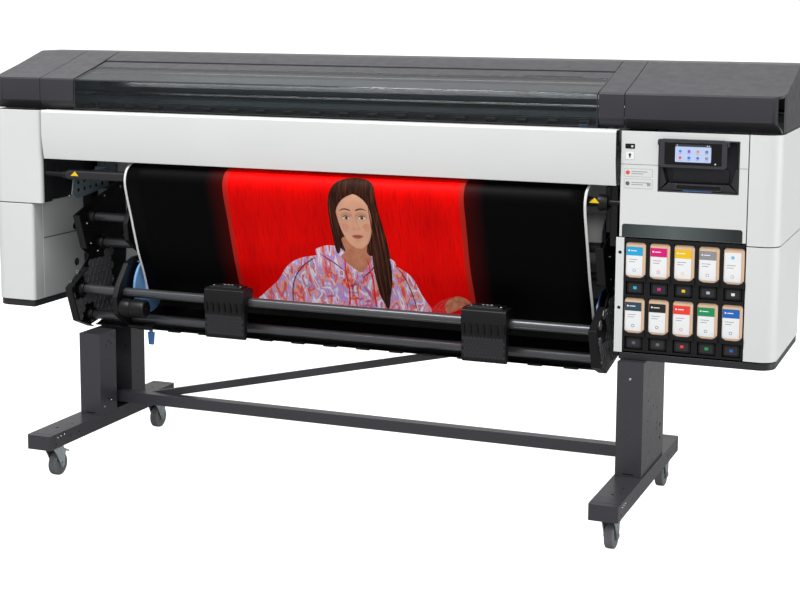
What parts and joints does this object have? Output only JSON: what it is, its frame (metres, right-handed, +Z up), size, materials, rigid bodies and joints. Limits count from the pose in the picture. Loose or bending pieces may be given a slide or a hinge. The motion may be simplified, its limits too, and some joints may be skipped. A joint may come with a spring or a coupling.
{
  "type": "wide roll-fed sign printer with cutter",
  "caption": "Free-standing wide-format roll printer with a built-in cutter, front ink boxes and a wheeled stand.",
  "frame": {"origin": "on the floor, under the middle of the machine's width and of the feet's depth", "axes": "+X to the right along the machine, +Y to its back, +Z up"},
  "size_m": [2.583, 0.777, 1.331],
  "materials": {
    "stand_paint": "fine textured powder coat",
    "zinc": "bright zinc plate",
    "wheel_tread": "smooth nylon and rubber tread",
    "black_plastic": "moulded ABS, fine spark texture",
    "white_shell": "moulded ABS, satin",
    "dark_hood": "moulded ABS, fine texture",
    "chassis_steel": "folded galvanised sheet",
    "rod_steel": "ground bright steel",
    "bar_anodised": "black anodised extrusion",
    "hub_blue": "moulded acetal",
    "media_paper": "coated paper",
    "blue_plastic": "moulded ABS",
    "pad_rubber": "ribbed rubber",
    "kraft_board": "kraft cardboard",
    "smoked_window": "smoked clear polycarbonate"
  },
  "bodies": {
    "root": {"foot_left": "stand_paint", "foot_right": "stand_paint", "leg_left": "stand_paint", "leg_right": "stand_paint", "crossbar": "stand_paint", "brace": "stand_paint", "caster_plates": "zinc", "pod_liners": "black_plastic", "left_side_panels": "white_shell", "right_side_panels": "white_shell", "right_front_panel": "white_shell", "panel_recess": "dark_hood", "cartridge_bay": "black_plastic", "front_beam": "white_shell", "left_cap": "dark_hood", "right_cap": "dark_hood", "hood_end_caps": "dark_hood", "rear_top_cover": "dark_hood", "rear_panel": "white_shell", "main_beam": "chassis_steel", "print_platen": "black_plastic", "slider_rods": "rod_steel", "output_platen": "black_plastic", "roll_plates": "black_plastic", "roll_bars": "bar_anodised", "lower_deflector": "black_plastic", "media_sheet": "media_paper"},
    "window": {"window": "smoked_window"},
    "touch_panel": {"touch_panel": "dark_hood"},
    "power_button": {"power_button": "black_plastic"},
    "print_carriage": {"print_carriage": "black_plastic"},
    "cutter_carriage": {"cutter_carriage": "blue_plastic"},
    "feed_roller": {"feed_roller": "rod_steel"},
    "upper_roll": {"media_roll": "media_paper"},
    "hub_upper_left": {"hub_upper_left": "hub_blue"},
    "hub_lower_left": {"hub_lower_left": "hub_blue"},
    "hub_lower_right": {"hub_lower_right": "hub_blue"},
    "upper_carriage": {"hub_carriage_upper": "black_plastic"},
    "lower_carriage": {"hub_carriage_lower": "black_plastic"},
    "lock_knob": {"lock_knob": "black_plastic"},
    "support_left": {"loading_support_left": "pad_rubber"},
    "support_right": {"loading_support_right": "pad_rubber"},
    "ink_cyan": {"ink_cyan": "kraft_board"},
    "ink_magenta": {"ink_magenta": "kraft_board"},
    "ink_yellow": {"ink_yellow": "kraft_board"},
    "ink_grey": {"ink_grey": "kraft_board"},
    "ink_light_cyan": {"ink_light_cyan": "kraft_board"},
    "ink_slate": {"ink_slate": "kraft_board"},
    "ink_black": {"ink_black": "kraft_board"},
    "ink_red": {"ink_red": "kraft_board"},
    "ink_green": {"ink_green": "kraft_board"},
    "ink_blue": {"ink_blue": "kraft_board"},
    "caster_fl": {"caster_fork_fl": "zinc"},
    "wheel_fl": {"caster_wheel_fl": "wheel_tread"},
    "caster_fr": {"caster_fork_fr": "zinc"},
    "wheel_fr": {"caster_wheel_fr": "wheel_tread"},
    "caster_rl": {"caster_fork_rl": "zinc"},
    "wheel_rl": {"caster_wheel_rl": "wheel_tread"},
    "caster_rr": {"caster_fork_rr": "zinc"},
    "wheel_rr": {"caster_wheel_rr": "wheel_tread"}
  },
  "joints": [
    {"name": "window_hinge", "type": "hinge", "parent": "root", "child": "window", "pos_m": [0, 0.1345, 1.287], "axis": [-1, 0, 0], "range_deg": [0, 60]},
    {"name": "panel_tilt", "type": "hinge", "parent": "root", "child": "touch_panel", "pos_m": [1.0515, -0.0835, 1.122], "axis": [-1, 0, 0], "range_deg": [0, 50]},
    {"name": "power_press", "type": "slide", "parent": "root", "child": "power_button", "axis": [0, 1, 0], "range_m": [0, 0.002], "stiffness_N_per_m": 400},
    {"name": "carriage_slide", "type": "slide", "parent": "root", "child": "print_carriage", "axis": [1, 0, 0], "range_m": [-2.12, 0.12]},
    {"name": "cutter_slide", "type": "slide", "parent": "root", "child": "cutter_carriage", "axis": [1, 0, 0], "range_m": [-1.62, 0]},
    {"name": "feed_roller_spin", "type": "hinge", "parent": "root", "child": "feed_roller", "pos_m": [0, 0.0905, 1.128], "axis": [1, 0, 0], "continuous": true},
    {"name": "roll_spin", "type": "hinge", "parent": "root", "child": "upper_roll", "pos_m": [0, 0.1585, 0.799], "axis": [1, 0, 0], "continuous": true},
    {"name": "upper_hub_slide", "type": "slide", "parent": "root", "child": "upper_carriage", "axis": [-1, 0, 0], "range_m": [0, 0.12]},
    {"name": "upper_hub_spin", "type": "hinge", "parent": "upper_carriage", "child": "hub_upper_left", "pos_m": [-0.762, 0.1585, 0.799], "axis": [1, 0, 0], "continuous": true},
    {"name": "lower_hub_slide", "type": "slide", "parent": "root", "child": "lower_carriage", "axis": [1, 0, 0], "range_m": [-0.12, 0]},
    {"name": "lower_left_hub_spin", "type": "hinge", "parent": "lower_carriage", "child": "hub_lower_left", "pos_m": [-0.762, 0.0845, 0.566], "axis": [1, 0, 0], "continuous": true},
    {"name": "lower_right_hub_spin", "type": "hinge", "parent": "root", "child": "hub_lower_right", "pos_m": [0.735, 0.0845, 0.566], "axis": [1, 0, 0], "continuous": true},
    {"name": "lock_knob_turn", "type": "hinge", "parent": "lower_carriage", "child": "lock_knob", "pos_m": [-0.765, -0.0595, 0.512], "axis": [1, 0, 0], "range_deg": [0, 180]},
    {"name": "support_left_slide", "type": "slide", "parent": "root", "child": "support_left", "axis": [1, 0, 0], "range_m": [-0.15, 0.3]},
    {"name": "support_right_slide", "type": "slide", "parent": "root", "child": "support_right", "axis": [1, 0, 0], "range_m": [-0.3, 0.2]},
    {"name": "ink_cyan_slide", "type": "slide", "parent": "root", "child": "ink_cyan", "axis": [0, -1, 0], "range_m": [0, 0.24]},
    {"name": "ink_magenta_slide", "type": "slide", "parent": "root", "child": "ink_magenta", "axis": [0, -1, 0], "range_m": [0, 0.24]},
    {"name": "ink_yellow_slide", "type": "slide", "parent": "root", "child": "ink_yellow", "axis": [0, -1, 0], "range_m": [0, 0.24]},
    {"name": "ink_grey_slide", "type": "slide", "parent": "root", "child": "ink_grey", "axis": [0, -1, 0], "range_m": [0, 0.24]},
    {"name": "ink_light_cyan_slide", "type": "slide", "parent": "root", "child": "ink_light_cyan", "axis": [0, -1, 0], "range_m": [0, 0.24]},
    {"name": "ink_slate_slide", "type": "slide", "parent": "root", "child": "ink_slate", "axis": [0, -1, 0], "range_m": [0, 0.24]},
    {"name": "ink_black_slide", "type": "slide", "parent": "root", "child": "ink_black", "axis": [0, -1, 0], "range_m": [0, 0.24]},
    {"name": "ink_red_slide", "type": "slide", "parent": "root", "child": "ink_red", "axis": [0, -1, 0], "range_m": [0, 0.24]},
    {"name": "ink_green_slide", "type": "slide", "parent": "root", "child": "ink_green", "axis": [0, -1, 0], "range_m": [0, 0.24]},
    {"name": "ink_blue_slide", "type": "slide", "parent": "root", "child": "ink_blue", "axis": [0, -1, 0], "range_m": [0, 0.24]},
    {"name": "swivel_fl", "type": "hinge", "parent": "root", "child": "caster_fl", "pos_m": [-0.918, -0.3115, 0.1], "axis": [0, 0, 1], "continuous": true},
    {"name": "wheel_spin_fl", "type": "hinge", "parent": "caster_fl", "child": "wheel_fl", "pos_m": [-0.918, -0.2855, 0.0375], "axis": [1, 0, 0], "continuous": true},
    {"name": "swivel_fr", "type": "hinge", "parent": "root", "child": "caster_fr", "pos_m": [0.8945, -0.3115, 0.1], "axis": [0, 0, 1], "continuous": true},
    {"name": "wheel_spin_fr", "type": "hinge", "parent": "caster_fr", "child": "wheel_fr", "pos_m": [0.8945, -0.2855, 0.0375], "axis": [1, 0, 0], "continuous": true},
    {"name": "swivel_rl", "type": "hinge", "parent": "root", "child": "caster_rl", "pos_m": [-0.918, 0.3165, 0.1], "axis": [0, 0, 1], "continuous": true},
    {"name": "wheel_spin_rl", "type": "hinge", "parent": "caster_rl", "child": "wheel_rl", "pos_m": [-0.918, 0.3425, 0.0375], "axis": [1, 0, 0], "continuous": true},
    {"name": "swivel_rr", "type": "hinge", "parent": "root", "child": "caster_rr", "pos_m": [0.8945, 0.3165, 0.1], "axis": [0, 0, 1], "continuous": true},
    {"name": "wheel_spin_rr", "type": "hinge", "parent": "caster_rr", "child": "wheel_rr", "pos_m": [0.8945, 0.3425, 0.0375], "axis": [1, 0, 0], "continuous": true}
  ],
  "couplings": [
    {"joint": "upper_hub_spin", "follows": "roll_spin", "ratio": 1}
  ]
}
